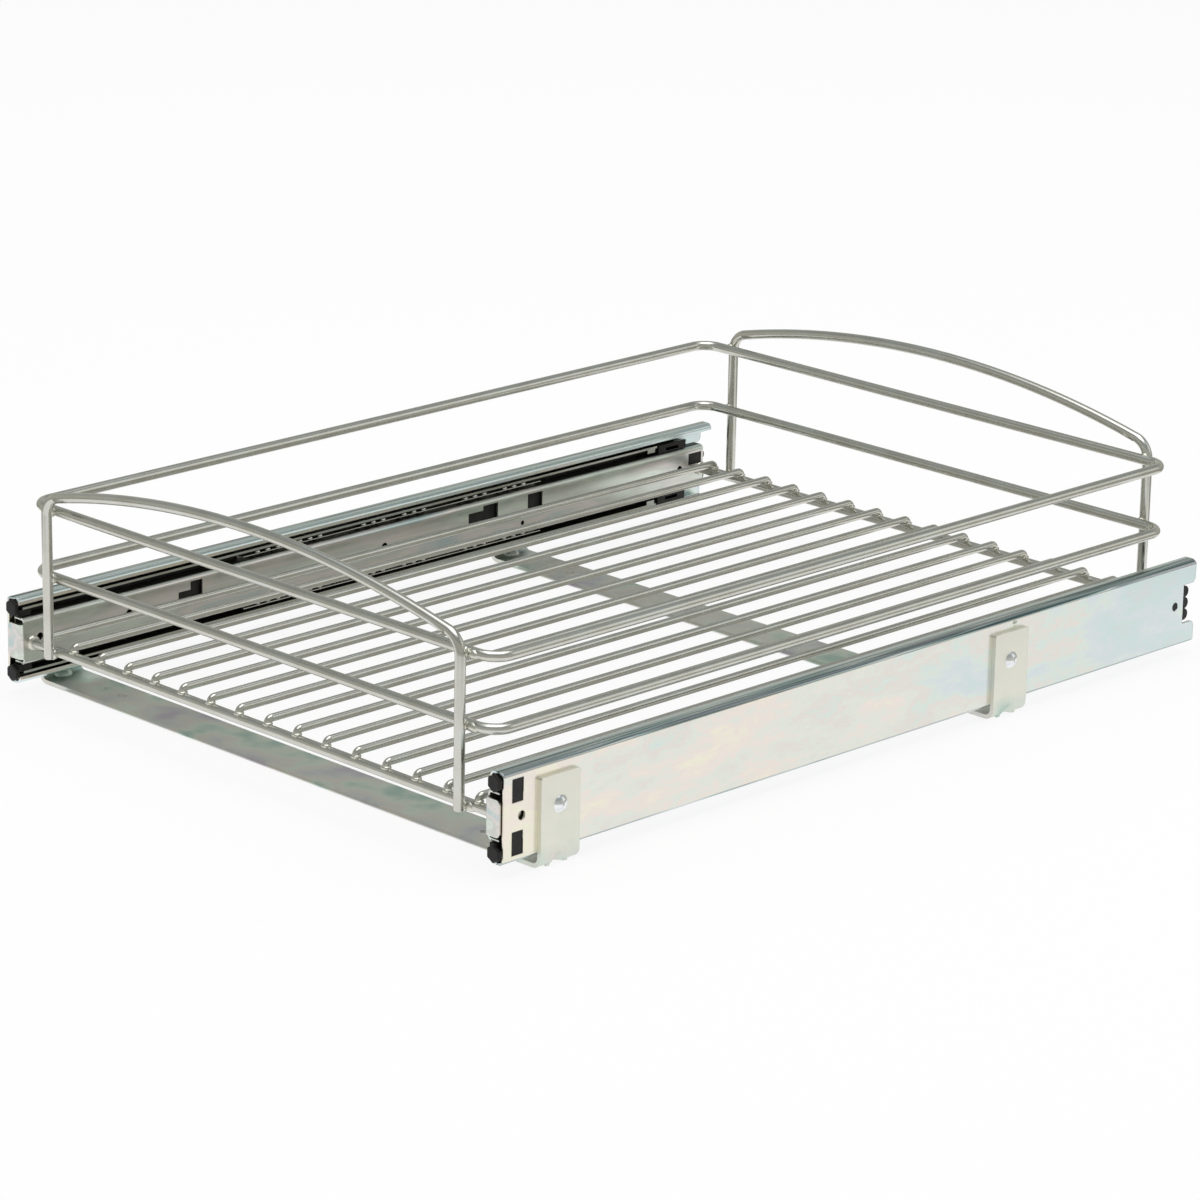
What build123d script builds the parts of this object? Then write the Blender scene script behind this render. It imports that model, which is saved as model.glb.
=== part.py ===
"""Pull-out cabinet organizer: a welded wire basket on two full-extension ball slides and two floor straps.

Millimetres, +Z up, X across the cabinet, the front of the organizer towards -Y.
The origin lies on the floor under the straps, in the middle of the overall box.
A place on a slide's section is (u, v): u runs inwards from the outer face of its outer rail,
and v runs up from its mid height. Everything on a slide is made on the right and mirrored to the left.
"""

import os
from math import hypot, sqrt

from build123d import *

# Slides: overall sizes
RAIL_LENGTH = 508.0
RAIL_HEIGHT = 45.7
RAIL_SPAN = 367.0
RAIL_SHEET = 1.2
SLIDE_DEPTH = 12.0
RAIL_CLEARANCE = 6.5

# Slides: ball tracks
BALL_D = 3.7
BALL_PLAY = 0.15
TRACK_REACH = 9.4
CAGE_SHEET = 0.4
CAGE_LENGTH = 220.0
CAGE_PLAY = 0.3
CAGE_CENTRE_Y = 8.0
POCKET_PLAY = 0.15
BALL_PITCH = 7.2
BALLS_IN_GROUP = 3
GROUP_PITCH = 30.0
PAIR_PITCH = 76.0
PAIRS = 3

# Outer rail: rolled edge, front windows, holes and rear notch
CREST_SETBACK = 2.4
SHOULDER_DROP = 1.25
LIP_DROP = 3.0
WINDOW_WIDTH = 7.3
WINDOW_SETBACK = 5.2
WINDOW_LOW = 7.2
WINDOW_HIGH = 18.9
WEB_HOLE_D = 4.6
FRONT_HOLE_SETBACK = 11.5
REAR_HOLE_SETBACK = 16.4
NOTCH_DEPTH = 9.8
NOTCH_HEIGHT = 21.2
NOTCH_CORNER = 3.0
DIMPLE_Y = 107.5
DIMPLE_RISE = 18.7
DIMPLE_R = 1.7
DIMPLE_PROUD = 0.9
STOPPER_SETBACK = 4.1
STOPPER_LENGTH = 15.9

# Middle rail and its plastic end caps
MIDDLE_SETBACK_FRONT = 2.5
MIDDLE_SETBACK_REAR = 24.0
CAP_ACROSS = 9.2
CAP_HEAD = 2.2
CAP_GAP = 0.2
CAP_SHANK = 8.0
CAP_WIDTH = 4.4
CAP_PLAY = 0.35
REAR_CAP_LENGTH = 22.0
REAR_CAP_SLOT = 10.0
REAR_CAP_LIP = 0.8
STOP_LENGTH = 6.0
STOP_WIDTH = 2.2
STOP_DROP = 2.2

# Inner rail, its front tab and its plastic pieces
TAB_HEIGHT = 18.6
TAB_PLAY = 0.5
TAB_CORNER = 2.6
INNER_SETBACK_REAR = 9.0
END_WINDOW_LENGTH = 10.5
END_WINDOW_EDGE = 1.5
END_WINDOW_LOW = 2.2
END_WINDOW_HIGH = 9.0
BUMPER_SETBACK = 6.9
BUMPER_LOBES = 3
INSERT_SHEET = 1.5
INSERT_LAP = 1.4
INSERT_RECESS = 0.9
CATCH_Y = (-141.0, 71.0, 111.0)
CATCH_LENGTH = (16.4, 22.4, 11.4)
CATCH_LOW = -1.0
CATCH_HIGH = 9.6
CATCH_STEP = (4.4, 2.6, 0.0)
RAIL_SCREW_Y = (-241.5, -182.6, -3.0, 227.0)
RAIL_SCREW_D = 4.0
RAIL_SCREW_RISE = 1.2
PILOT_HOLE_Y = 101.4
PILOT_HOLE_D = 2.6
PILOT_HOLE_DROP = 6.1

# Straps, their screw holes and rivets
STRAP_SHEET = 2.3
STRAP_WIDTH = 25.4
STRAP_HEIGHT = 45.5
STRAP_BEND = 3.2
STRAP_CORNER = 1.5
STRAP_FRONT_SETBACK = 34.6
STRAP_PITCH = 321.6
SCREW_HOLE_D = 5.0
SCREW_HOLE_X = (134.8, 150.8)
GUSSET_R = 5.0
GUSSET_DENT = 2.5
RIVET_D = 4.6
RIVET_HEAD_D = 9.0
RIVET_HEAD_H = 2.4
RIVET_PLAY = 0.1
RIVET_RISE = 0.6

# Wire basket
FRAME_WIRE_D = 5.4
FLOOR_WIRE_D = 4.0
WELD_SINK = 0.2
BASKET_FRONT_SETBACK = 1.3
BASKET_REAR_SETBACK = 6.4
POST_X = 151.8
POST_FOOT = 25.3
ARCH_APEX_Z = 129.3
ARCH_R = 610.0
ARCH_CORNER_R = 11.0
RAIL_LOOP_X = 169.3
RAIL_LOOP_CORNER = 10.8
TOP_LOOP_Z = 102.9
MIDDLE_LOOP_Z = 67.4
CROSS_WIRE_Z = 28.2
FLOOR_WIRE_RISE = 5.3
FLOOR_WIRE_BEND = 2.5
FLOOR_WIRES = 16
FLOOR_WIRE_PITCH = 21.3

# Places along Y that several pieces share
RAIL_FRONT = CAP_HEAD - (RAIL_LENGTH + CAP_HEAD) / 2
RAIL_REAR = RAIL_FRONT + RAIL_LENGTH
POST_FRONT = RAIL_FRONT + BASKET_FRONT_SETBACK
POST_REAR = RAIL_REAR - BASKET_REAR_SETBACK
BEHIND_POST = FRAME_WIRE_D - WELD_SINK
LOOP_FRONT = POST_FRONT + BEHIND_POST
LOOP_REAR = POST_REAR - BEHIND_POST
STRAPS_Y = (RAIL_FRONT + STRAP_FRONT_SETBACK, RAIL_FRONT + STRAP_FRONT_SETBACK + STRAP_PITCH)

# Places on the slide's section that several pieces share
RAIL_HALF = RAIL_HEIGHT / 2
RAIL_MID_Z = RAIL_CLEARANCE + RAIL_HALF
TRACK = BALL_D + 2 * BALL_PLAY
OUTER_BALL_V = RAIL_HALF - RAIL_SHEET - TRACK / 2
MIDDLE_TOP = RAIL_HALF - RAIL_SHEET - TRACK
MIDDLE_UNDER = MIDDLE_TOP - RAIL_SHEET
INNER_BALL_V = MIDDLE_UNDER - TRACK / 2
INNER_TOP = MIDDLE_UNDER - TRACK
INNER_UNDER = INNER_TOP - RAIL_SHEET
OUTER_CAGE_U = RAIL_SHEET + CAGE_PLAY
MIDDLE_WEB_U = OUTER_CAGE_U + CAGE_SHEET + CAGE_PLAY
INNER_CAGE_U = MIDDLE_WEB_U + RAIL_SHEET + CAGE_PLAY
INNER_TIP_U = INNER_CAGE_U + CAGE_SHEET + CAGE_PLAY
INNER_WEB_U = SLIDE_DEPTH - RAIL_SHEET
INNER_FACE_X = RAIL_SPAN / 2 - SLIDE_DEPTH
OUTER_BALL_U = MIDDLE_WEB_U + TRACK_REACH / 3
INNER_BALL_U = INNER_TIP_U + TRACK / 2 + BALL_PLAY
BEND_R = 1.5 * RAIL_SHEET

parts = {}


def section_point(u, v):
    """Point of the right-hand slide's section, as (x, z)."""
    return (RAIL_SPAN / 2 - u, RAIL_MID_Z + v)


def folded_sheet(points, bend, sheet):
    """Section of a sheet folded along a centre line of (x, z) points."""
    return trace(FilletPolyline(*points, radius=bend), sheet)


def along_y(section, front, rear):
    """Run an (x, z) section from front to rear."""
    return extrude(Plane.XZ.offset(-rear) * section, amount=rear - front)


def block(u0, u1, v0, v1, front, rear):
    """Box on the right-hand slide between two places in u, v and y."""
    x = RAIL_SPAN / 2 - (u0 + u1) / 2
    z = RAIL_MID_Z + (v0 + v1) / 2
    return Pos(x, (front + rear) / 2, z) * Box(u1 - u0, rear - front, v1 - v0)


def cross_hole(diameter, y, v=0.0):
    """Cylinder through the webs of the right-hand slide, along X."""
    x = RAIL_SPAN / 2 - SLIDE_DEPTH / 2
    return Pos(x, y, RAIL_MID_Z + v) * Rot(0, 90, 0) * Cylinder(diameter / 2, 3 * SLIDE_DEPTH)


def both_halves(upper):
    """A piece of the slide's upper half, with its mirror image below mid height."""
    return [upper, mirror(upper, Plane.XY.offset(RAIL_MID_Z))]


def add_pair(name, solids):
    """Keep a right-hand slide piece and its left-hand mirror image."""
    solids = solids if isinstance(solids, list) else [solids]
    parts["right_" + name] = solids
    parts["left_" + name] = [mirror(solid, Plane.YZ) for solid in solids]


def round_wire(path, diameter):
    """Round wire along a path."""
    return sweep(Plane(path ^ 0) * Circle(diameter / 2), path=path)


def outer_rail():
    """Roll-formed outer rail: web, two rolled ball tracks, front windows, holes and rear notch."""
    half_sheet = RAIL_SHEET / 2
    crest = RAIL_HALF - half_sheet
    upper = [
        (TRACK_REACH - half_sheet, crest - LIP_DROP),
        (TRACK_REACH - half_sheet, crest - SHOULDER_DROP),
        (TRACK_REACH - half_sheet - SHOULDER_DROP, crest),
        (CREST_SETBACK, crest),
        (half_sheet, crest - SHOULDER_DROP),
    ]
    lower = [(u, -v) for u, v in reversed(upper)]
    centre_line = [section_point(u, v) for u, v in upper + lower]
    rail = along_y(folded_sheet(centre_line, 0.75 * RAIL_SHEET, RAIL_SHEET), RAIL_FRONT, RAIL_REAR)
    window_front = RAIL_FRONT + WINDOW_SETBACK
    window_rear = window_front + WINDOW_WIDTH
    window = block(-RAIL_SHEET, 2 * RAIL_SHEET, WINDOW_LOW, WINDOW_HIGH, window_front, window_rear)
    for cut in both_halves(window):
        rail -= cut
    notch = NOTCH_HEIGHT / 2
    notch_front = RAIL_REAR - NOTCH_DEPTH
    rail -= block(-RAIL_SHEET, 2 * RAIL_SHEET, -notch, notch, notch_front, RAIL_REAR + NOTCH_DEPTH)
    rail = fillet(rear_corners(rail, notch), NOTCH_CORNER)
    rail -= cross_hole(WEB_HOLE_D, RAIL_FRONT + FRONT_HOLE_SETBACK)
    rail -= cross_hole(WEB_HOLE_D, RAIL_REAR - REAR_HOLE_SETBACK)
    for y in STRAPS_Y:
        rail -= cross_hole(RIVET_D + 2 * RIVET_PLAY, y, RIVET_RISE)
    x, z = section_point(-DIMPLE_PROUD / 2, DIMPLE_RISE)
    return rail + Pos(x, DIMPLE_Y, z) * Rot(0, 90, 0) * Cone(DIMPLE_R, DIMPLE_R / 2, DIMPLE_PROUD)


def rear_corners(rail, notch):
    """Edges where the outer rail's rear notch meets its rear end."""
    corners = []
    for edge in rail.edges().filter_by(Axis.X):
        middle = edge.center()
        height = abs(middle.Z - RAIL_MID_Z)
        if abs(middle.Y - RAIL_REAR) < RAIL_SHEET / 2 and abs(height - notch) < RAIL_SHEET / 2:
            corners.append(edge)
    return corners


def front_guide():
    """Plastic guide clipped into a front window of the outer rail, over the end of the ball track."""
    front = RAIL_FRONT + WINDOW_SETBACK
    rear = front + WINDOW_WIDTH
    rib_u = OUTER_CAGE_U + CAGE_SHEET
    top = RAIL_HALF - RAIL_SHEET - CAGE_PLAY
    plug = block(CAGE_PLAY, RAIL_SHEET, WINDOW_LOW, WINDOW_HIGH, front, rear)
    rib = block(RAIL_SHEET, rib_u, WINDOW_LOW, top - SHOULDER_DROP, front, rear)
    nose_u = TRACK_REACH - RAIL_SHEET - CAGE_PLAY
    nose = block(rib_u, nose_u, MIDDLE_TOP + CAGE_PLAY, top, RAIL_FRONT + CAGE_PLAY, rear)
    nose = chamfer(nose.edges().filter_by(Axis.Y).group_by(Axis.Z)[-1], CREST_SETBACK / 2)
    return plug + rib + nose


def wavy_block(u0, u1, half, front, rear):
    """Block about the slide's mid height whose rear face is a row of round lobes."""
    lobe_r = half / BUMPER_LOBES
    lobe_y = rear - lobe_r
    wavy = block(u0, u1, -half, half, front, lobe_y)
    for lobe in range(BUMPER_LOBES):
        x, z = section_point((u0 + u1) / 2, (2 * lobe + 1 - BUMPER_LOBES) * lobe_r)
        wavy += Pos(x, lobe_y, z) * Rot(0, 90, 0) * Cylinder(lobe_r, u1 - u0)
    return wavy


def rail_stopper():
    """Plastic stop behind the outer rail's notch, pegged in the rail's rear hole, with a wavy rear face."""
    half = INNER_UNDER - BEND_R
    rear = RAIL_REAR - STOPPER_SETBACK
    stopper = wavy_block(RAIL_SHEET, INNER_TIP_U - CAGE_SHEET, half, rear - STOPPER_LENGTH, rear)
    x, z = section_point((CAGE_PLAY + RAIL_SHEET) / 2, 0)
    peg = Cylinder(WEB_HOLE_D / 2 - POCKET_PLAY, RAIL_SHEET - CAGE_PLAY)
    return stopper + Pos(x, RAIL_REAR - REAR_HOLE_SETBACK, z) * Rot(0, 90, 0) * peg


def middle_rail():
    """Channel that carries the ball tracks of both stages."""
    web = MIDDLE_WEB_U + RAIL_SHEET / 2
    flange = MIDDLE_TOP - RAIL_SHEET / 2
    corners = [(TRACK_REACH, flange), (web, flange), (web, -flange), (TRACK_REACH, -flange)]
    centre_line = [section_point(u, v) for u, v in corners]
    section = folded_sheet(centre_line, BEND_R, RAIL_SHEET)
    rear = RAIL_REAR - MIDDLE_SETBACK_REAR
    rail = along_y(section, RAIL_FRONT + MIDDLE_SETBACK_FRONT, rear)
    stop_rear = rear + CAP_HEAD - REAR_CAP_LENGTH - STOP_WIDTH
    stop_front = stop_rear - STOP_LENGTH
    stop_low = MIDDLE_UNDER - STOP_DROP
    stop = block(TRACK_REACH - STOP_WIDTH, TRACK_REACH, stop_low, MIDDLE_UNDER, stop_front, stop_rear)
    for lug in both_halves(stop):
        rail += lug
    return rail


def front_cap():
    """Plastic buffer on a front end of the middle rail: a hexagonal head ahead of the outer rail."""
    low = INNER_TOP + CAP_PLAY
    head_face = RAIL_FRONT - CAP_HEAD
    head_v = low + CAP_ACROSS / 2
    head_u = CAP_ACROSS / 2 + RAIL_SHEET / 2
    hexagon = Pos(*section_point(head_u, head_v)) * Rot(0, 0, 30) * RegularPolygon(CAP_ACROSS / 2, 6)
    hexagon = fillet(hexagon.vertices(), CAP_ACROSS / 8)
    head = along_y(hexagon, head_face, RAIL_FRONT - CAP_GAP)
    head = chamfer(head.faces().sort_by(Axis.Y)[0].edges(), CAP_HEAD / 4)
    shank_u = MIDDLE_WEB_U + RAIL_SHEET / 2 + BEND_R
    shank_rear = RAIL_FRONT + CAP_SHANK
    shank = block(shank_u, shank_u + CAP_WIDTH, low, MIDDLE_UNDER, RAIL_FRONT - CAP_GAP, shank_rear)
    return head + shank


def rear_cap():
    """Slotted plastic stop under a rear end of the middle rail's flange."""
    low = INNER_TOP + CAP_PLAY
    rear = RAIL_REAR - MIDDLE_SETBACK_REAR + CAP_HEAD
    front = rear - REAR_CAP_LENGTH
    stop = block(TRACK_REACH - CAP_WIDTH, TRACK_REACH, low, MIDDLE_UNDER, front, rear)
    stop += block(TRACK_REACH, TRACK_REACH + REAR_CAP_LIP, low, MIDDLE_TOP, front, rear)
    slot_low = low + (MIDDLE_UNDER - low) / 4
    slot_high = MIDDLE_UNDER - (MIDDLE_UNDER - low) / 4
    slot_front = front + (REAR_CAP_LENGTH - REAR_CAP_SLOT) / 2
    return stop - block(0, 2 * TRACK_REACH, slot_low, slot_high, slot_front, slot_front + REAR_CAP_SLOT)


def ball_places():
    """Places along Y of the balls in one row of a cage: pairs of groups."""
    places = []
    for pair in range(PAIRS):
        pair_y = CAGE_CENTRE_Y + (pair - (PAIRS - 1) / 2) * PAIR_PITCH
        for group_y in (pair_y - GROUP_PITCH / 2, pair_y + GROUP_PITCH / 2):
            for ball in range(BALLS_IN_GROUP):
                places.append(group_y + (ball - (BALLS_IN_GROUP - 1) / 2) * BALL_PITCH)
    return places


def ball_cage(web_u, ball_u, ball_v):
    """Pressed steel retainer: a channel whose flanges hold the balls in pockets."""
    front = CAGE_CENTRE_Y - CAGE_LENGTH / 2
    rear = front + CAGE_LENGTH
    top = ball_v + CAGE_SHEET / 2
    flange_end = ball_u + BALL_D / 2 + 2 * CAGE_SHEET
    cage = block(web_u, flange_end, -top, top, front, rear)
    cage -= block(web_u + CAGE_SHEET, flange_end + BALL_D, CAGE_SHEET - top, top - CAGE_SHEET, front, rear)
    x, z = section_point(ball_u, 0)
    for y in ball_places():
        cage -= Pos(x, y, z) * Cylinder(BALL_D / 2 + POCKET_PLAY, 2 * RAIL_HEIGHT)
    return cage


def cage_balls(ball_u, ball_v):
    """Both rows of balls of one cage."""
    balls = []
    for v in (-ball_v, ball_v):
        x, z = section_point(ball_u, v)
        balls += [Pos(x, y, z) * Sphere(BALL_D / 2) for y in ball_places()]
    return balls


def end_window_front():
    """Front edge of the window in the inner rail's web near its rear end."""
    return RAIL_REAR - INNER_SETBACK_REAR - END_WINDOW_EDGE - END_WINDOW_LENGTH


def web_cut(low, high, front, rear):
    """Cut through the inner rail's web."""
    return block(INNER_WEB_U - RAIL_SHEET, SLIDE_DEPTH + RAIL_SHEET, low, high, front, rear)


def inner_rail():
    """Channel that carries the basket, with a bent front tab, catch windows and an end window."""
    web = INNER_WEB_U + RAIL_SHEET / 2
    flange = INNER_TOP - RAIL_SHEET / 2
    corners = [(INNER_TIP_U, flange), (web, flange), (web, -flange), (INNER_TIP_U, -flange)]
    centre_line = [section_point(u, v) for u, v in corners]
    front = RAIL_FRONT + RAIL_SHEET
    rail = along_y(folded_sheet(centre_line, BEND_R, RAIL_SHEET), front, RAIL_REAR - INNER_SETBACK_REAR)
    rail += front_tab(front)
    for y, length, step in zip(CATCH_Y, CATCH_LENGTH, CATCH_STEP):
        rail -= web_cut(CATCH_LOW, CATCH_HIGH, y, y + length / 2)
        rail -= web_cut(CATCH_LOW, CATCH_HIGH - step, y - length / 2, y)
    window_front = end_window_front()
    rail -= web_cut(END_WINDOW_LOW, END_WINDOW_HIGH, window_front, window_front + END_WINDOW_LENGTH)
    x = INNER_FACE_X + RAIL_SHEET / 2
    for y in RAIL_SCREW_Y:
        hole = Pos(x, y, RAIL_MID_Z + RAIL_SCREW_RISE) * Rot(0, 90, 0)
        rail -= hole * Cylinder(RAIL_SCREW_D / 2, 3 * RAIL_SHEET)
    pilot = Pos(x, PILOT_HOLE_Y, RAIL_MID_Z - PILOT_HOLE_DROP) * Rot(0, 90, 0)
    return rail - pilot * Cylinder(PILOT_HOLE_D / 2, 3 * RAIL_SHEET)


def front_tab(web_front):
    """Tab bent outwards at the front of the inner rail's web, which stops it against the middle rail."""
    face_y = RAIL_FRONT - RAIL_SHEET / 2
    web_x = INNER_FACE_X + RAIL_SHEET / 2
    tip_x = RAIL_SPAN / 2 - RAIL_SHEET - TAB_PLAY
    centre_line = [(web_x, web_front + TAB_CORNER), (web_x, face_y), (tip_x, face_y)]
    bend = folded_sheet(centre_line, BEND_R, RAIL_SHEET)
    tab = extrude(Plane.XY.offset(RAIL_MID_Z - TAB_HEIGHT / 2) * bend, amount=TAB_HEIGHT)
    tip_edges = tab.edges().filter_by(Axis.Y).group_by(Axis.X)[-1]
    return fillet(tip_edges, TAB_CORNER)


def rear_bumper():
    """Plastic bumper in the rear end of the inner rail, with a wavy rear face."""
    window_front = end_window_front()
    window_rear = window_front + END_WINDOW_LENGTH
    half = INNER_UNDER - BEND_R
    boss_u = SLIDE_DEPTH - CAGE_PLAY
    bumper = wavy_block(INNER_TIP_U + CAGE_PLAY, INNER_WEB_U, half, window_front, RAIL_REAR - BUMPER_SETBACK)
    return bumper + block(INNER_WEB_U, boss_u, END_WINDOW_LOW, END_WINDOW_HIGH, window_front, window_rear)


def catch_inserts():
    """Plastic catch plates behind the catch windows of the inner rail's web."""
    inserts = []
    for y, length in zip(CATCH_Y, CATCH_LENGTH):
        front = y - length / 2 - INSERT_LAP
        rear = y + length / 2 + INSERT_LAP
        low = CATCH_LOW - INSERT_LAP
        plate = block(INNER_WEB_U - INSERT_SHEET, INNER_WEB_U, low, CATCH_HIGH, front, rear)
        recess = block(INNER_WEB_U - INSERT_RECESS, INNER_WEB_U, CATCH_LOW, CATCH_HIGH, y, rear)
        inserts.append(plate - recess)
    return inserts


def strap(y):
    """Floor strap: flat steel bent up at both ends, with a gusset in each bend and screw holes."""
    x = RAIL_SPAN / 2 + STRAP_SHEET / 2
    z = STRAP_SHEET / 2
    corners = [(-x, STRAP_HEIGHT), (-x, z), (x, z), (x, STRAP_HEIGHT)]
    section = folded_sheet(corners, STRAP_BEND + STRAP_SHEET / 2, STRAP_SHEET)
    body = along_y(section, y - STRAP_WIDTH / 2, y + STRAP_WIDTH / 2)
    body = fillet(body.edges().filter_by(Axis.X).group_by(Axis.Z)[-1], STRAP_CORNER)
    for side in (-1, 1):
        body = gusseted(body, side, y)
        for hole_x in SCREW_HOLE_X:
            body -= Pos(side * hole_x, y, 0) * Cylinder(SCREW_HOLE_D / 2, 4 * STRAP_SHEET)
        hole = Pos(side * x, y, RAIL_MID_Z + RIVET_RISE) * Rot(0, 90, 0)
        body -= hole * Cylinder(RIVET_D / 2 + RIVET_PLAY, 4 * STRAP_SHEET)
    return body


def gusseted(body, side, y):
    """Press a gusset across one bend of a strap: a dent outside and a ridge inside."""
    outer_x = RAIL_SPAN / 2 + STRAP_SHEET
    bend_inset = (STRAP_BEND + STRAP_SHEET) * (1 - 1 / sqrt(2))
    axis_inset = bend_inset + (GUSSET_DENT - GUSSET_R) / sqrt(2)
    axis = Pos(side * (outer_x - axis_inset), y, axis_inset) * Rot(0, side * 45, 0)
    length = 8 * GUSSET_R
    ridge = axis * Cylinder(GUSSET_R + STRAP_SHEET, length)
    inside = Pos(0, y, STRAP_HEIGHT / 2) * Box(RAIL_SPAN, STRAP_WIDTH, STRAP_HEIGHT)
    return body + (ridge & inside) - axis * Cylinder(GUSSET_R, length)


def strap_rivets():
    """Domed rivets that hold the outer rails to the strap ends."""
    rivets = []
    crown_r = ((RIVET_HEAD_D / 2) ** 2 + RIVET_HEAD_H**2) / (2 * RIVET_HEAD_H)
    shank = RAIL_SHEET + STRAP_SHEET
    dome = Pos(0, 0, shank + RIVET_HEAD_H - crown_r) * Sphere(crown_r)
    head = dome & Pos(0, 0, shank + RIVET_HEAD_H / 2) * Cylinder(RIVET_HEAD_D / 2, RIVET_HEAD_H)
    rivet = head + Pos(0, 0, shank / 2) * Cylinder(RIVET_D / 2, shank)
    for side in (-1, 1):
        for y in STRAPS_Y:
            tail = Pos(side * (RAIL_SPAN / 2 - RAIL_SHEET), y, RAIL_MID_Z + RIVET_RISE)
            rivets.append(tail * Rot(0, side * 90, 0) * rivet)
    return rivets


def arched_frame(y):
    """End frame of the basket: two posts and an arched top, bent from one wire."""
    centre_z = ARCH_APEX_Z - ARCH_R
    bend_x = POST_X - ARCH_CORNER_R
    bend_reach = sqrt((ARCH_R - ARCH_CORNER_R) ** 2 - bend_x**2)
    bend_z = centre_z + bend_reach
    scale = ARCH_R / (ARCH_R - ARCH_CORNER_R)
    arch_end = (bend_x * scale, centre_z + bend_reach * scale)
    span = hypot(bend_x + ARCH_R - ARCH_CORNER_R, bend_reach)
    halfway = (
        bend_x + ARCH_CORNER_R * (bend_x + ARCH_R - ARCH_CORNER_R) / span,
        bend_z + ARCH_CORNER_R * bend_reach / span,
    )
    path = Curve() + [
        Line((POST_X, POST_FOOT), (POST_X, bend_z)),
        ThreePointArc((POST_X, bend_z), halfway, arch_end),
        ThreePointArc(arch_end, (0, ARCH_APEX_Z), (-arch_end[0], arch_end[1])),
        ThreePointArc((-arch_end[0], arch_end[1]), (-halfway[0], halfway[1]), (-POST_X, bend_z)),
        Line((-POST_X, bend_z), (-POST_X, POST_FOOT)),
    ]
    return round_wire((Plane.XZ.offset(-y) * path).wire(), FRAME_WIRE_D)


def rail_loop(z):
    """Closed side rail of the basket, welded inside the four posts."""
    centre_y = (LOOP_FRONT + LOOP_REAR) / 2
    outline = RectangleRounded(2 * RAIL_LOOP_X, LOOP_REAR - LOOP_FRONT, RAIL_LOOP_CORNER)
    path = (Pos(0, centre_y, z) * outline).wire()
    return round_wire(path, FRAME_WIRE_D)


def cross_wire(y):
    """Straight wire under the basket floor, welded to the posts and to both inner rails."""
    return Pos(0, y, CROSS_WIRE_Z) * Rot(0, 90, 0) * Cylinder(FRAME_WIRE_D / 2, 2 * INNER_FACE_X)


def floor_wire(x):
    """Lengthwise floor wire, with both ends bent down onto the cross wires."""
    foot = CROSS_WIRE_Z + FRAME_WIRE_D / 2 - WELD_SINK
    top = CROSS_WIRE_Z + FLOOR_WIRE_RISE
    corners = [(x, LOOP_FRONT, foot), (x, LOOP_FRONT, top), (x, LOOP_REAR, top), (x, LOOP_REAR, foot)]
    return round_wire(FilletPolyline(*corners, radius=FLOOR_WIRE_BEND), FLOOR_WIRE_D)


# Fixed base: straps, outer rails, rivets, clipped-in guides and pegged rear stops
parts["front_strap"] = [strap(STRAPS_Y[0])]
parts["rear_strap"] = [strap(STRAPS_Y[1])]
parts["strap_rivets"] = strap_rivets()
add_pair("outer_rail", outer_rail())
add_pair("front_guides", both_halves(front_guide()))
add_pair("rail_stopper", rail_stopper())

# Telescoping stages of each slide
add_pair("middle_rail", middle_rail())
add_pair("middle_front_caps", both_halves(front_cap()))
add_pair("middle_rear_caps", both_halves(rear_cap()))
add_pair("outer_ball_cage", ball_cage(OUTER_CAGE_U, OUTER_BALL_U, OUTER_BALL_V))
add_pair("outer_balls", cage_balls(OUTER_BALL_U, OUTER_BALL_V))
add_pair("inner_ball_cage", ball_cage(INNER_CAGE_U, INNER_BALL_U, INNER_BALL_V))
add_pair("inner_balls", cage_balls(INNER_BALL_U, INNER_BALL_V))
add_pair("inner_rail", inner_rail())
add_pair("rear_bumper", rear_bumper())
add_pair("catch_inserts", catch_inserts())

# Wire basket
parts["front_arch_frame"] = [arched_frame(POST_FRONT)]
parts["rear_arch_frame"] = [arched_frame(POST_REAR)]
parts["top_rail_loop"] = [rail_loop(TOP_LOOP_Z)]
parts["middle_rail_loop"] = [rail_loop(MIDDLE_LOOP_Z)]
parts["front_cross_wire"] = [cross_wire(LOOP_FRONT)]
parts["rear_cross_wire"] = [cross_wire(LOOP_REAR)]
for number in range(FLOOR_WIRES):
    wire_x = (number - (FLOOR_WIRES - 1) / 2) * FLOOR_WIRE_PITCH
    parts[f"floor_wire_{number + 1:02d}"] = [floor_wire(wire_x)]

os.makedirs("parts", exist_ok=True)
for node, pieces in parts.items():
    solids = [solid for piece in pieces for solid in piece.solids()]
    shape = solids[0] if len(solids) == 1 else Compound(children=solids)
    export_step(shape, f"parts/{node}.step")
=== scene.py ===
import math

import bpy
from mathutils import Matrix, Vector


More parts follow.
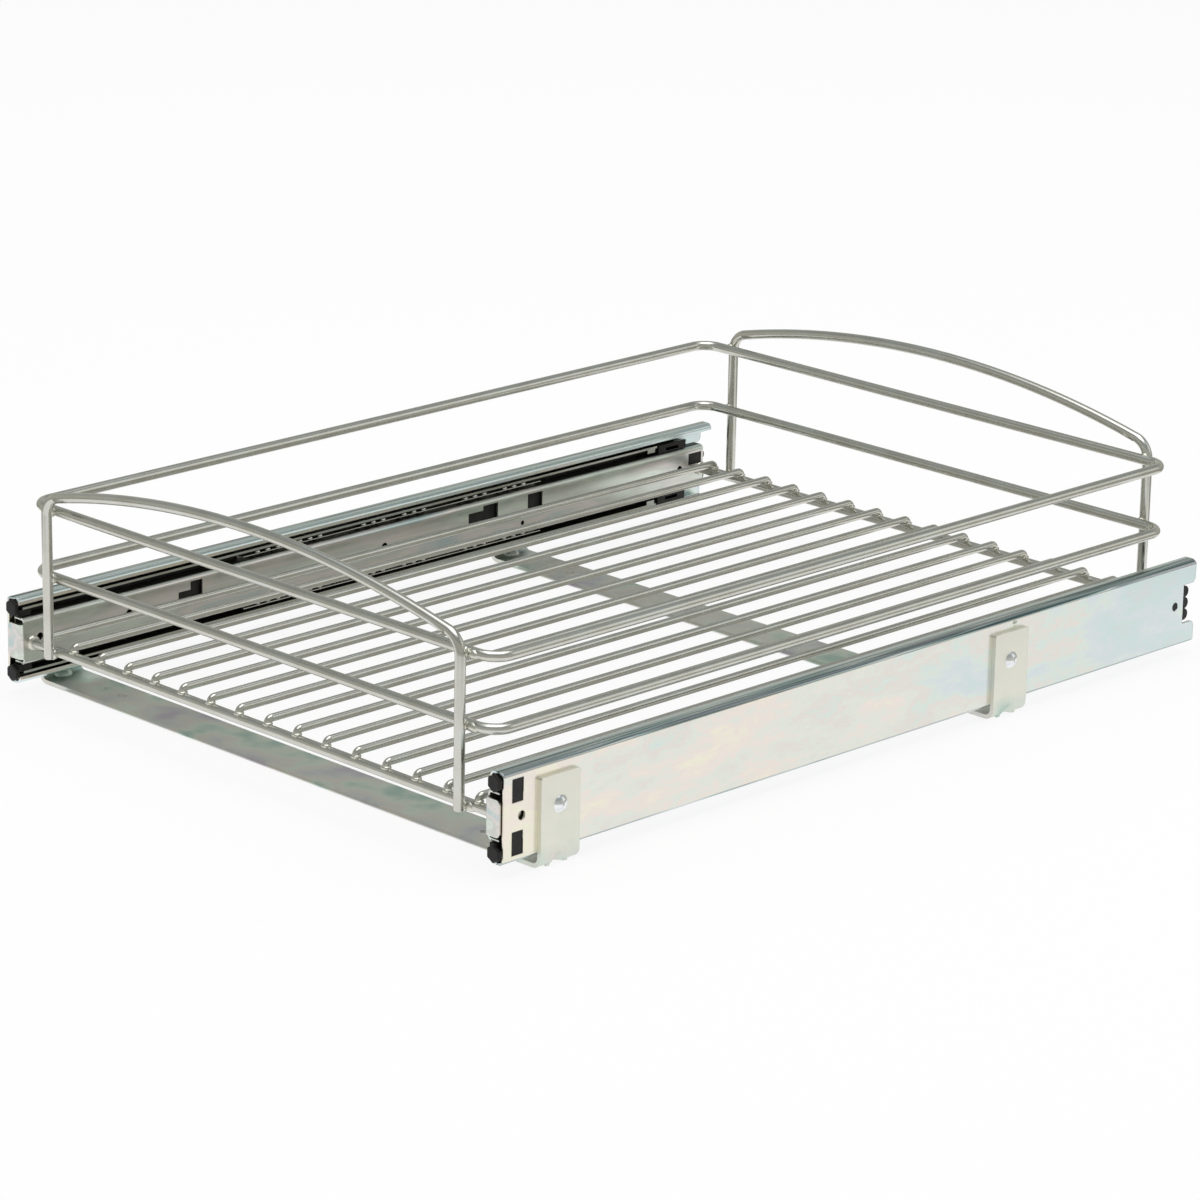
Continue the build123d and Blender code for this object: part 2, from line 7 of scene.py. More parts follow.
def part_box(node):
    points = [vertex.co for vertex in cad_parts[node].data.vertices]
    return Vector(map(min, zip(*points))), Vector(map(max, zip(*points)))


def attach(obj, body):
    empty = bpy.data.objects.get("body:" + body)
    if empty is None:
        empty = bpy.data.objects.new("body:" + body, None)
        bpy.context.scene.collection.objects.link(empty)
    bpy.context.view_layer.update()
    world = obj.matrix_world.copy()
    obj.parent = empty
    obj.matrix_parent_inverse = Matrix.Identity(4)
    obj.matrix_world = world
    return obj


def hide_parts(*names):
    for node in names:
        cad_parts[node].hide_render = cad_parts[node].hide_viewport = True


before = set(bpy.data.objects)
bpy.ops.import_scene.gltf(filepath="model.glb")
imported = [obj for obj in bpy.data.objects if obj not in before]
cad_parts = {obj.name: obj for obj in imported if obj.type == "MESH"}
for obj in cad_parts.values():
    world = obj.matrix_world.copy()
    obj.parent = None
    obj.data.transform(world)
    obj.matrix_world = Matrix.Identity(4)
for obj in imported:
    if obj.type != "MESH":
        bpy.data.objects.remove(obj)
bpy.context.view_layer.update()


# Floor straps: two strips of cold-rolled steel, pierced for the floor screws and bent up at both ends.
# A gusset is dented into each bend. They are barrel plated with dull zinc, and the slides are riveted
# between their ends.
def linear(shade):
    """The linear colour of an sRGB hex value."""
    parts = [int(shade[n : n + 2], 16) / 255 for n in (1, 3, 5)]
    return [c / 12.92 if c <= 0.04045 else ((c + 0.055) / 1.055) ** 2.4 for c in parts] + [1.0]


def add_node(tree, kind, values=None, links=None, stops=(), **settings):
    """Adds one node with its settings, socket values, links and colour stops."""
    node = tree.nodes.new(kind)
    for name, value in settings.items():
        setattr(node, name, value)
    for socket, value in (values or {}).items():
        node.inputs[socket].default_value = value
    for socket, source in (links or {}).items():
        tree.links.new(source, node.inputs[socket])
    for number, (at, shade) in enumerate(stops):
        if number < 2:
            node.color_ramp.elements[number].position = at
        else:
            node.color_ramp.elements.new(at)
        node.color_ramp.elements[number].color = linear(shade)
    return node


def new_finish(name):
    """A new material with its tree, its shader and the place of each point on the piece."""
    finish = bpy.data.materials.new(name)
    finish.use_nodes = True
    tree = finish.node_tree
    place = add_node(tree, "ShaderNodeTexCoord").outputs["Object"]
    return finish, tree, tree.nodes["Principled BSDF"], place


def coat(tree, shader, colour, gloss, relief=None, metallic=1.0):
    """Joins the colour, gloss and relief of a finish to its shader, as metal unless told otherwise."""
    tree.links.new(colour, shader.inputs["Base Color"])
    tree.links.new(gloss.outputs["Result"], shader.inputs["Roughness"])
    if relief:
        tree.links.new(relief.outputs["Normal"], shader.inputs["Normal"])
    shader.inputs["Metallic"].default_value = metallic


def dress(finish, *names):
    """Gives solids of the frame their finish."""
    for name in names:
        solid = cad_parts[name].data
        solid.materials.clear()
        solid.materials.append(finish)


MM = 0.001

# The ends of a strap turn upright between these heights
bend_start, bend_end = 3 * MM, 12 * MM

# The sockets of a Mix node that mixes colours: its share, the two colours and the result
SHARE, UNDER, OVER, MIXED = 0, 6, 7, 2

# Dull zinc plate on rolled strip: pale grey, with cloudy green and lilac tints about 28 mm across from
# the passivation, faint rolling lines along the strip, and edges that round off bright. The upright ends
# are painted an even cream: a painted sheen for the light they mirror from the white floor
strap_zinc, tree, shader, place = new_finish("dull_zinc_plated_strip")
clouds = add_node(tree, "ShaderNodeTexNoise", {"Scale": 1 / (28 * MM), "Detail": 3.0}, {"Vector": place})
tint = add_node(tree, "ShaderNodeValToRGB", links={"Fac": clouds.outputs["Fac"]},
                stops=((0.30, "#b5cdc3"), (0.42, "#dae2d8"), (0.50, "#dedbd4"), (0.58, "#d5d8d6"),
                       (0.70, "#c8c1cd")))
height = add_node(tree, "ShaderNodeSeparateXYZ", links={"Vector": place})
# painted sheen: above the bend the strap is painted a lighter cream, for the white floor its upright ends
# mirror
upright = add_node(tree, "ShaderNodeMapRange", {"From Min": bend_start, "From Max": bend_end, "To Max": 0.85},
                   {"Value": height.outputs["Z"]})
painted_upright_sheen = add_node(tree, "ShaderNodeMix", {OVER: linear("#ecebdf")},
                  {SHARE: upright.outputs["Result"], UNDER: tint.outputs["Color"]}, data_type="RGBA")
along_strip = add_node(tree, "ShaderNodeMapping", {"Scale": (0.04, 1.0, 1.0)}, {"Vector": place})
lines = add_node(tree, "ShaderNodeTexNoise", {"Scale": 1 / (0.8 * MM), "Detail": 2.0},
                 {"Vector": along_strip.outputs["Vector"]})
gloss = add_node(tree, "ShaderNodeMapRange", {"To Min": 0.36, "To Max": 0.54},
                 {"Value": lines.outputs["Fac"]})
edge = add_node(tree, "ShaderNodeBevel", {"Radius": 0.35 * MM}, samples=4)
relief = add_node(tree, "ShaderNodeBump", {"Strength": 0.12, "Distance": 0.05 * MM},
                  {"Height": lines.outputs["Fac"], "Normal": edge.outputs["Normal"]})
coat(tree, shader, painted_upright_sheen.outputs[MIXED], gloss, relief)
dress(strap_zinc, "front_strap", "rear_strap")


# Outer rails: the fixed stage of each slide, roll formed from 1.2 mm steel strip with its edges curled in
# as ball tracks. Pierced in the strip, then bright zinc plated, which leaves a faint rainbow. The tracks
# are packed with grease, painted near black as painted shade for the dark inside of the tracks.
rail_low, rail_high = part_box("right_outer_rail")
rail_mid = (rail_low.z + rail_high.z) / 2
rail_half = rail_high.z - rail_mid

# Heights off the mid line, between which the web turns over into the curled edge and the balls run
curl_start, curl_end = rail_half - 2.25 * MM, rail_half - 1.55 * MM
track_start, track_end = rail_half - 11.35 * MM, rail_half - 0.65 * MM

# Where the curled edge turns towards the basket, and how far out a face inside a track may look
crest_x, lip_x = rail_low.x + 4.9 * MM, rail_low.x + 2.9 * MM
looks_in = (-1.1, 0.3)

# The faces outside the tracks stay dry and get no painted shade, and so does the rear end
dry_lip, dry_web, dry_front, dry_rear = 0.7 * MM, 0.6 * MM, 0.4 * MM, 22 * MM


def height_off_mid(tree, place):
    """The parts of a place on a slide, and its height above or below the slide's mid line."""
    where = add_node(tree, "ShaderNodeSeparateXYZ", links={"Vector": place})
    lift = add_node(tree, "ShaderNodeMath", {1: rail_mid}, {0: where.outputs["Z"]}, operation="SUBTRACT")
    off_mid = add_node(tree, "ShaderNodeMath", links={0: lift.outputs["Value"]}, operation="ABSOLUTE")
    return where, off_mid.outputs["Value"]


def facing_out(tree, where):
    """How far a face looks away from the basket, and how far away from the slide's mid line."""
    normal = add_node(tree, "ShaderNodeSeparateXYZ",
                      links={"Vector": add_node(tree, "ShaderNodeTexCoord").outputs["Normal"]})
    lift = add_node(tree, "ShaderNodeMath", {1: rail_mid}, {0: where.outputs["Z"]}, operation="SUBTRACT")
    looks = []
    for side, part in ((where.outputs["X"], "X"), (lift.outputs["Value"], "Z")):
        sign = add_node(tree, "ShaderNodeMath", links={0: side}, operation="SIGN")
        look = add_node(tree, "ShaderNodeMath", links={0: sign.outputs["Value"], 1: normal.outputs[part]},
                        operation="MULTIPLY")
        looks.append(look.outputs["Value"])
    return looks


def inside_of(tree, bounds):
    """One where every value lies between its two bounds, and zero elsewhere."""
    share = None
    for value, low, high in bounds:
        middle = add_node(tree, "ShaderNodeMath", {1: (low + high) / 2, 2: (high - low) / 2}, {0: value},
                          operation="COMPARE")
        if share is None:
            share = middle.outputs["Value"]
        else:
            both = add_node(tree, "ShaderNodeMath", links={0: share, 1: middle.outputs["Value"]},
                            operation="MULTIPLY")
            share = both.outputs["Value"]
    return share


def grease_and_painted_shade(tree, shader, place, tint, gloss, film):
    """Lays dark grease with painted shade over a zinc finish where film is one: black brown, painted near
    black for the shade in the tracks, wet, in streaks 6 mm long.
    """
    grease_gloss, metal_seen = 0.38, 0.25
    streaks = add_node(tree, "ShaderNodeMapping", {"Scale": (1.0, 0.2, 1.0)}, {"Vector": place})
    smear = add_node(tree, "ShaderNodeTexNoise", {"Scale": 1 / (1.2 * MM), "Detail": 2.0},
                     {"Vector": streaks.outputs["Vector"]})
    # painted shade: the grease is painted near black for the shade inside the tracks
    grease_and_shade = add_node(tree, "ShaderNodeValToRGB", links={"Fac": smear.outputs["Fac"]},
                      stops=((0.35, "#171814"), (0.62, "#2b2a25"), (0.75, "#4a4942")))
    colour = add_node(tree, "ShaderNodeMix", links={SHARE: film, UNDER: tint, OVER: grease_and_shade.outputs["Color"]},
                      data_type="RGBA")
    bare = add_node(tree, "ShaderNodeMath", {0: 1.0}, {1: film}, operation="SUBTRACT")
    metal = add_node(tree, "ShaderNodeMapRange", {"To Min": metal_seen, "To Max": 1.0},
                     {"Value": bare.outputs["Value"]})
    wet = add_node(tree, "ShaderNodeMix", {"B": grease_gloss}, {"Factor": film, "A": gloss})
    tree.links.new(colour.outputs[MIXED], shader.inputs["Base Color"])
    tree.links.new(metal.outputs["Result"], shader.inputs["Metallic"])
    tree.links.new(wet.outputs["Result"], shader.inputs["Roughness"])


# Bright zinc plate: nearly white, cream and pink at the front and mint towards the rear, where the
# passivation film is thicker, in soft patches about 60 mm long. The curled edges carry painted teal and
# grey reflections in streaks along the rail, paling to a painted highlight on the lip at the basket's side,
# and fine drawing lines run along the rail (0.1 mm apart in life, drawn 0.7 mm apart so that they show)
rail_zinc, tree, shader, place = new_finish("bright_zinc_plated_rail")
where, off_mid = height_off_mid(tree, place)
along_rail = add_node(tree, "ShaderNodeMapping", {"Scale": (1.0, 0.4, 1.0)}, {"Vector": place})
patches = add_node(tree, "ShaderNodeTexNoise", {"Scale": 1 / (24 * MM), "Detail": 5.0, "Roughness": 0.66},
                   {"Vector": along_rail.outputs["Vector"]})
thicker_by_metre = 0.75
film = add_node(tree, "ShaderNodeMath", {1: thicker_by_metre},
                {0: where.outputs["Y"], 2: patches.outputs["Fac"]}, operation="MULTIPLY_ADD")
tint = add_node(tree, "ShaderNodeValToRGB", links={"Fac": film.outputs["Value"]},
                stops=((0.16, "#f1e7dd"), (0.26, "#efecd9"), (0.36, "#ede4dc"), (0.44, "#e3e7de"),
                       (0.51, "#e5e0d9"), (0.58, "#dbe6df"), (0.65, "#d9e0e3"), (0.73, "#d0e1de"),
                       (0.83, "#d8dcdd")))
along_roll = add_node(tree, "ShaderNodeMapping", {"Scale": (1.0, 0.008, 1.0)}, {"Vector": place})
streaks = add_node(tree, "ShaderNodeTexNoise", {"Scale": 1 / (1.1 * MM), "Detail": 1.0},
                   {"Vector": along_roll.outputs["Vector"]})
# painted reflection: dark teal and grey streaks on the curled edges, for the dark surroundings they mirror
curl_painted_reflection = add_node(tree, "ShaderNodeValToRGB", links={"Fac": streaks.outputs["Fac"]},
                     stops=((0.34, "#56686a"), (0.43, "#9dbab8"), (0.50, "#e6eae8"), (0.57, "#7f9495"),
                            (0.68, "#c3c1c8")))
rolled = add_node(tree, "ShaderNodeMapRange", {"From Min": curl_start, "From Max": curl_end},
                  {"Value": off_mid})
across = add_node(tree, "ShaderNodeMath", links={0: where.outputs["X"]}, operation="ABSOLUTE")
# painted highlight: the curled edge pales towards the lip on the basket's side
inner_side = add_node(tree, "ShaderNodeMapRange", {"From Min": crest_x, "From Max": lip_x, "To Max": 0.85},
                      {"Value": across.outputs["Value"]})
lip_painted_highlight = add_node(tree, "ShaderNodeMix", {OVER: linear("#e8f6f7")},
                    {SHARE: inner_side.outputs["Result"], UNDER: curl_painted_reflection.outputs["Color"]},
                    data_type="RGBA")
tint_with_painted_curl = add_node(tree, "ShaderNodeMix", links={SHARE: rolled.outputs["Result"], UNDER: tint.outputs["Color"],
                                               OVER: lip_painted_highlight.outputs[MIXED]}, data_type="RGBA")
along_lines = add_node(tree, "ShaderNodeMapping", {"Scale": (1.0, 0.02, 1.0)}, {"Vector": place})
lines = add_node(tree, "ShaderNodeTexNoise", {"Scale": 1 / (0.7 * MM), "Detail": 2.0},
                 {"Vector": along_lines.outputs["Vector"]})
gloss = add_node(tree, "ShaderNodeMapRange", {"To Min": 0.18, "To Max": 0.30},
                 {"Value": lines.outputs["Fac"]})
edge = add_node(tree, "ShaderNodeBevel", {"Radius": 0.8 * MM}, samples=6)
relief = add_node(tree, "ShaderNodeBump", {"Strength": 0.04, "Distance": 0.03 * MM},
                  {"Height": lines.outputs["Fac"], "Normal": edge.outputs["Normal"]})
looks_out, looks_away = facing_out(tree, where)
tracks = inside_of(tree, ((across.outputs["Value"], rail_low.x + dry_lip, rail_high.x - dry_web),
                          (off_mid, track_start, track_end), (looks_out, *looks_in), (looks_away, *looks_in),
                          (where.outputs["Y"], rail_low.y + dry_front, rail_high.y - dry_rear)))
grease_and_painted_shade(tree, shader, place, tint_with_painted_curl.outputs[MIXED], gloss.outputs["Result"], tracks)
tree.links.new(relief.outputs["Normal"], shader.inputs["Normal"])
dress(rail_zinc, "left_outer_rail", "right_outer_rail")


# Strap rivets: steel rivets with a low round head, closed from outside, so that they hold the strap ends
# to the webs of the outer rails. Their zinc is rubbed brighter than the strap's.

# Burnished zinc on the rivet heads: brighter and smoother than the strap, with small marks of the snap
rivet_zinc, tree, shader, place = new_finish("burnished_zinc_rivet")
marks = add_node(tree, "ShaderNodeTexNoise", {"Scale": 1 / (2.5 * MM), "Detail": 3.0}, {"Vector": place})
tint = add_node(tree, "ShaderNodeValToRGB", links={"Fac": marks.outputs["Fac"]},
                stops=((0.35, "#e2e6e8"), (0.65, "#f2f4f5")))
gloss = add_node(tree, "ShaderNodeMapRange", {"To Min": 0.14, "To Max": 0.28},
                 {"Value": marks.outputs["Fac"]})
relief = add_node(tree, "ShaderNodeBump", {"Strength": 0.12, "Distance": 0.05 * MM},
                  {"Height": marks.outputs["Fac"]})
coat(tree, shader, tint.outputs["Color"], gloss, relief)
dress(rivet_zinc, "strap_rivets")


# Front guides and rear stops: black acetal blocks on each outer rail. The guides clip into the windows at
# the front and keep the middle rail from knocking as it goes in; the wavy stop is pegged in the rear hole.

# Moulded black acetal: charcoal with a spark-eroded grain of about half a millimetre, waxy at the edges
acetal, tree, shader, place = new_finish("moulded_black_acetal")
grain = add_node(tree, "ShaderNodeTexNoise", {"Scale": 1 / (0.5 * MM), "Detail": 2.0}, {"Vector": place})
flow = add_node(tree, "ShaderNodeTexNoise", {"Scale": 1 / (8 * MM), "Detail": 2.0}, {"Vector": place})
tint = add_node(tree, "ShaderNodeValToRGB", links={"Fac": flow.outputs["Fac"]},
                stops=((0.35, "#121211"), (0.65, "#1f1d1c")))
gloss = add_node(tree, "ShaderNodeMapRange", {"To Min": 0.34, "To Max": 0.54},
                 {"Value": grain.outputs["Fac"]})
edge = add_node(tree, "ShaderNodeBevel", {"Radius": 0.3 * MM}, samples=4)
relief = add_node(tree, "ShaderNodeBump", {"Strength": 0.25, "Distance": 0.05 * MM},
                  {"Height": grain.outputs["Fac"], "Normal": edge.outputs["Normal"]})
coat(tree, shader, tint.outputs["Color"], gloss, relief, metallic=0.0)
shader.inputs["IOR"].default_value = 1.48
shader.inputs["Specular IOR Level"].default_value = 0.3
dress(acetal, "left_front_guides", "right_front_guides", "left_rail_stopper", "right_rail_stopper")


# Ball cages and balls: pressed steel strips whose pockets hold the balls of each track in groups of
# three. The balls are hardened chrome steel and run in grease.

# Bright pressed steel: cool grey, with the lines of the press tool along the strip
cage_steel, tree, shader, place = new_finish("bright_pressed_steel")
along_lines = add_node(tree, "ShaderNodeMapping", {"Scale": (1.0, 0.05, 1.0)}, {"Vector": place})
lines = add_node(tree, "ShaderNodeTexNoise", {"Scale": 1 / (0.8 * MM), "Detail": 2.0},
                 {"Vector": along_lines.outputs["Vector"]})
tint = add_node(tree, "ShaderNodeValToRGB", links={"Fac": lines.outputs["Fac"]},
                stops=((0.35, "#dedfd8"), (0.65, "#f1f1ea")))
gloss = add_node(tree, "ShaderNodeMapRange", {"To Min": 0.20, "To Max": 0.36},
                 {"Value": lines.outputs["Fac"]})
coat(tree, shader, tint.outputs["Color"], gloss)
for side in ("left", "right"):
    dress(cage_steel, f"{side}_outer_ball_cage", f"{side}_inner_ball_cage")

# Polished bearing steel: mirror bright, dulled in places by a smear of grease
ball_steel, tree, shader, place = new_finish("polished_bearing_steel")
smear = add_node(tree, "ShaderNodeTexNoise", {"Scale": 1 / (3 * MM), "Detail": 2.0}, {"Vector": place})
tint = add_node(tree, "ShaderNodeValToRGB", links={"Fac": smear.outputs["Fac"]},
                stops=((0.40, "#d2d2d0"), (0.65, "#e4e4e2")))
gloss = add_node(tree, "ShaderNodeMapRange", {"To Min": 0.06, "To Max": 0.22},
                 {"Value": smear.outputs["Fac"]})
coat(tree, shader, tint.outputs["Color"], gloss)
for side in ("left", "right"):
    dress(ball_steel, f"{side}_outer_balls", f"{side}_inner_balls")


# Middle rails: the stage that carries the balls on both of its faces, roll formed and plated as the outer
# rails are. Black acetal caps close its front edges, and lipped acetal blocks stop it at the rear.
stage_low, stage_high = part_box("right_middle_rail")

# The lip at the flange tips is wiped clean, and the other bound of the grease and its painted shade lies
# beyond the rail
wiped_lip = 0.5 * MM
beyond = 1 * MM

# Oiled zinc: the rail's plate under a film of oil, greyer than the outer rail, with grease and painted shade
# where the balls run on both faces of the flanges and a wiped, bright lip at the flange tips
oiled_zinc, tree, shader, place = new_finish("oiled_zinc_plated_rail")
where, off_mid = height_off_mid(tree, place)
along_rail = add_node(tree, "ShaderNodeMapping", {"Scale": (1.0, 0.3, 1.0)}, {"Vector": place})
patches = add_node(tree, "ShaderNodeTexNoise", {"Scale": 1 / (14 * MM), "Detail": 2.5},
                   {"Vector": along_rail.outputs["Vector"]})
tint = add_node(tree, "ShaderNodeValToRGB", links={"Fac": patches.outputs["Fac"]},
                stops=((0.32, "#b3b4aa"), (0.50, "#c4c5bc"), (0.68, "#bdc4c0")))
gloss = add_node(tree, "ShaderNodeMapRange", {"To Min": 0.22, "To Max": 0.34},
                 {"Value": patches.outputs["Fac"]})
across = add_node(tree, "ShaderNodeMath", links={0: where.outputs["X"]}, operation="ABSOLUTE")
tracks = inside_of(tree, ((across.outputs["Value"], stage_low.x + wiped_lip, stage_high.x + beyond),
                          (off_mid, track_start, track_end)))
grease_and_painted_shade(tree, shader, place, tint.outputs["Color"], gloss.outputs["Result"], tracks)
dress(oiled_zinc, "left_middle_rail", "right_middle_rail")
for side in ("left", "right"):
    dress(acetal, f"{side}_middle_front_caps", f"{side}_middle_rear_caps")


# Inner rails: the stage welded to the basket. Its front end is bent out as a tab, and windows in the web
# hold black acetal catch plates; a wavy acetal bumper at the rear takes the shock of closing.
slider_low, slider_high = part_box("right_inner_rail")

# The web stays clean, and the tracks start a little further off the mid line than on the other rails
clean_web = 2.3 * MM
slider_track_start = rail_half - 10.95 * MM

# Zinc plate of the inner rail: cloudier than the outer rail and painted greyer, as painted shade for the
# dim inside of the basket that its web faces, green and pink by turns in bands about 7 mm high that the
# rollers left, with grease and painted shade only on the flanges, where the balls run
slider_zinc, tree, shader, place = new_finish("zinc_plated_inner_rail")
where, off_mid = height_off_mid(tree, place)
along_rail = add_node(tree, "ShaderNodeMapping", {"Scale": (1.0, 0.3, 1.0)}, {"Vector": place})
patches = add_node(tree, "ShaderNodeTexNoise", {"Scale": 1 / (20 * MM), "Detail": 3.0},
                   {"Vector": along_rail.outputs["Vector"]})
along_lines = add_node(tree, "ShaderNodeMapping", {"Scale": (1.0, 0.02, 1.0)}, {"Vector": place})
bands = add_node(tree, "ShaderNodeTexNoise", {"Scale": 1 / (7 * MM), "Detail": 2.0},
                 {"Vector": along_lines.outputs["Vector"]})
both = add_node(tree, "ShaderNodeMath", links={0: patches.outputs["Fac"], 1: bands.outputs["Fac"]},
                operation="ADD")
film = add_node(tree, "ShaderNodeMath", {1: 0.5}, {0: both.outputs["Value"]}, operation="MULTIPLY")
# painted shade: these colours are greyer than the outer rail's, for the shade inside the basket
tint = add_node(tree, "ShaderNodeValToRGB", links={"Fac": film.outputs["Value"]},
                stops=((0.34, "#b4c3bc"), (0.43, "#dde4da"), (0.49, "#cdd0c9"), (0.55, "#e3dcd8"),
                       (0.64, "#bfcfcf")))
lines = add_node(tree, "ShaderNodeTexNoise", {"Scale": 1 / (0.9 * MM), "Detail": 2.0},
                 {"Vector": along_lines.outputs["Vector"]})
gloss = add_node(tree, "ShaderNodeMapRange", {"To Min": 0.24, "To Max": 0.38},
                 {"Value": lines.outputs["Fac"]})
across = add_node(tree, "ShaderNodeMath", links={0: where.outputs["X"]}, operation="ABSOLUTE")
tracks = inside_of(tree, ((across.outputs["Value"], slider_low.x + clean_web, slider_high.x + beyond),
                          (off_mid, slider_track_start, track_end)))
grease_and_painted_shade(tree, shader, place, tint.outputs["Color"], gloss.outputs["Result"], tracks)
dress(slider_zinc, "left_inner_rail", "right_inner_rail")
for side in ("left", "right"):
    dress(acetal, f"{side}_catch_inserts", f"{side}_rear_bumper")


# Basket end frames: one drawn steel wire of 5.4 mm at each end, bent cold into two posts and an arched top.
# The whole basket is welded first and then nickel plated as one piece.

# Satin nickel plate: warm light grey with a slight green cast, soft clear reflections, faint clouds about
# 15 mm across from the bath and a fine grain of the drawn wire (0.2 mm in life, drawn as 0.6 mm to show)
satin_nickel, tree, shader, place = new_finish("satin_nickel_plated_wire")
clouds = add_node(tree, "ShaderNodeTexNoise", {"Scale": 1 / (15 * MM), "Detail": 2.5}, {"Vector": place})
tint = add_node(tree, "ShaderNodeValToRGB", links={"Fac": clouds.outputs["Fac"]},
                stops=((0.32, "#cac9c1"), (0.50, "#d0cfc7"), (0.68, "#d2d3cd")))
grain = add_node(tree, "ShaderNodeTexNoise", {"Scale": 1 / (0.6 * MM), "Detail": 2.0}, {"Vector": place})
gloss = add_node(tree, "ShaderNodeMapRange", {"To Min": 0.18, "To Max": 0.30},
                 {"Value": grain.outputs["Fac"]})
relief = add_node(tree, "ShaderNodeBump", {"Strength": 0.05, "Distance": 0.04 * MM},
                  {"Height": grain.outputs["Fac"]})
coat(tree, shader, tint.outputs["Color"], gloss, relief)


def new_tree(name, inputs, result):
    """A new tree with its named inputs' identifiers, its input node and one result."""
    tree = bpy.data.node_groups.new(name, "GeometryNodeTree")
    identifiers = {}
    for title, kind in inputs:
        identifiers[title] = tree.interface.new_socket(title, in_out="INPUT", socket_type=kind).identifier
    tree.interface.new_socket(result, in_out="OUTPUT", socket_type="NodeSocketGeometry")
    return tree, identifiers, add_node(tree, "NodeGroupInput")


# A path of straight runs is rounded at each corner by its own bend radius, becomes a wire, and is repeated
bent_wires, wire_inputs, given = new_tree(
    "bent_wires", (("Path", "NodeSocketGeometry"), ("Wire Diameter", "NodeSocketFloat"),
                   ("Sides", "NodeSocketInt"), ("Bend Steps", "NodeSocketInt"), ("Copies", "NodeSocketInt"),
                   ("Step", "NodeSocketVector"), ("Finish", "NodeSocketMaterial")), "Wires")
runs = add_node(bent_wires, "GeometryNodeMeshToCurve", links={"Mesh": given.outputs["Path"]})
bend = add_node(bent_wires, "GeometryNodeInputNamedAttribute", {"Name": "bend"}, data_type="FLOAT")
bent = add_node(bent_wires, "GeometryNodeFilletCurve", {"Limit Radius": True},
                {"Curve": runs.outputs["Curve"], "Count": given.outputs["Bend Steps"],
                 "Radius": bend.outputs["Attribute"]}, mode="POLY")
half = add_node(bent_wires, "ShaderNodeMath", {1: 0.5}, {0: given.outputs["Wire Diameter"]},
                operation="MULTIPLY")
ring = add_node(bent_wires, "GeometryNodeCurvePrimitiveCircle",
                links={"Resolution": given.outputs["Sides"], "Radius": half.outputs["Value"]})
girth = add_node(bent_wires, "GeometryNodeInputNamedAttribute", {"Name": "girth"}, data_type="FLOAT")
drawn = add_node(bent_wires, "GeometryNodeCurveToMesh", {"Fill Caps": True},
                 {"Curve": bent.outputs["Curve"], "Profile Curve": ring.outputs["Curve"],
                  "Scale": girth.outputs["Attribute"]})
smooth = add_node(bent_wires, "GeometryNodeSetShadeSmooth", links={"Geometry": drawn.outputs["Mesh"]})
stands = add_node(bent_wires, "GeometryNodeMeshLine",
                  links={"Count": given.outputs["Copies"], "Offset": given.outputs["Step"]})
repeated = add_node(bent_wires, "GeometryNodeInstanceOnPoints",
                    links={"Points": stands.outputs["Mesh"], "Instance": smooth.outputs["Geometry"]})
real = add_node(bent_wires, "GeometryNodeRealizeInstances", links={"Geometry": repeated.outputs["Instances"]})
plated = add_node(bent_wires, "GeometryNodeSetMaterial",
                  links={"Geometry": real.outputs["Geometry"], "Material": given.outputs["Finish"]})
add_node(bent_wires, "NodeGroupOutput", links={"Wires": plated.outputs["Geometry"]})


def made_from(draft_mesh, tree, identifiers, values):
    """The plain mesh that a tree makes from a draft and the values of its inputs."""
    draft = bpy.data.objects.new("draft", draft_mesh)
    bpy.context.scene.collection.objects.link(draft)
    making = draft.modifiers.new("making", "NODES")
    making.node_group = tree
    for title, value in values.items():
        making[identifiers[title]] = value
    made = bpy.data.meshes.new_from_object(draft.evaluated_get(bpy.context.evaluated_depsgraph_get()))
    bpy.data.objects.remove(draft)
    return made


def basket_piece(name, made):
    """A finished piece of the basket."""
    made.name = name
    piece = bpy.data.objects.new(name, made)
    bpy.context.scene.collection.objects.link(piece)
    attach(piece, "basket")
    return piece


def bend_wire(path, closed, diameter, sides, steps, copies, step):
    """Wires bent along a path of (point, bend radius, girth)."""
    count = len(path)
    draft_mesh = bpy.data.meshes.new("wire_path")
    ends = [(n, (n + 1) % count) for n in range(count if closed else count - 1)]
    draft_mesh.from_pydata([point for point, radius, girth in path], ends, [])
    radii = draft_mesh.attributes.new("bend", "FLOAT", "POINT")
    girths = draft_mesh.attributes.new("girth", "FLOAT", "POINT")
    for n, (point, radius, girth) in enumerate(path):
        radii.data[n].value = radius
        girths.data[n].value = girth
    return made_from(draft_mesh, bent_wires, wire_inputs,
                     {"Wire Diameter": diameter, "Sides": sides, "Bend Steps": steps, "Copies": copies,
                      "Step": step, "Finish": satin_nickel})


frame_low, frame_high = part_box("front_arch_frame")
rear_low, rear_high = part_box("rear_arch_frame")
frame_wire = frame_high.y - frame_low.y
front_y = (frame_low.y + frame_high.y) / 2
rear_y = (rear_low.y + rear_high.y) / 2
post_x = frame_high.x - frame_wire / 2

# The straight runs that stand for the arch and its corners touch both where the corner meets the arch
arch_r = 610 * MM
corner_r = 11 * MM
arch_centre = frame_high.z - frame_wire / 2 - arch_r
shrunk = (arch_r - corner_r) / arch_r
touch_x = (post_x - corner_r) / shrunk
touch_rise = math.sqrt(arch_r**2 - touch_x**2)
slope = touch_x / touch_rise
corner_z = arch_centre + touch_rise - (post_x - touch_x) * slope
peak_z = arch_centre + touch_rise + touch_x * slope

